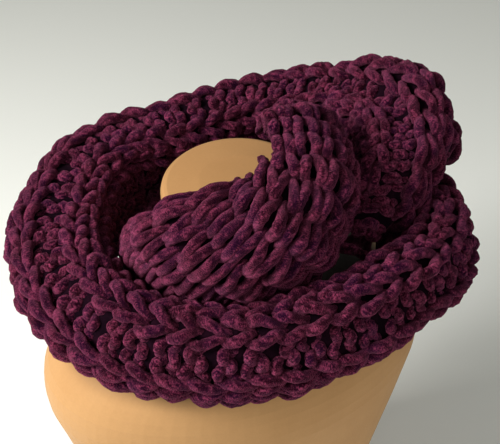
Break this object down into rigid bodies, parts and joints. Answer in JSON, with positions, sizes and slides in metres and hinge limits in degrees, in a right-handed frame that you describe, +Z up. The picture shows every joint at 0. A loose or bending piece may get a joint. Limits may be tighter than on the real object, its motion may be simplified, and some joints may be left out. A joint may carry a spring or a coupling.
{
  "type": "infinity scarf on a dress form",
  "caption": "chunky hand-knitted infinity scarf worn in two turns round the neck of a limbless, waist-length dress form with a flat base",
  "frame": {"origin": "centre of the form's flat base, which stands on the floor", "axes": "+Z up, the front of the form faces -Y, the wearer's left side is +X"},
  "size_m": [0.3814, 0.3169, 0.5249],
  "materials": {
    "plum_knit": "chunky chenille knit, deep pile",
    "form_shell": "matte moulded shell, tan",
    "form_cap": "matte moulded cap, tan"
  },
  "bodies": {
    "root": {"outer_right": "plum_knit", "outer_front": "plum_knit", "left_roll": "plum_knit", "back_band": "plum_knit", "right_fold": "plum_knit", "front_drape": "plum_knit", "lower_left": "plum_knit", "lower_back": "plum_knit", "torso": "form_shell", "neck_cap": "form_cap"}
  },
  "joints": []
}
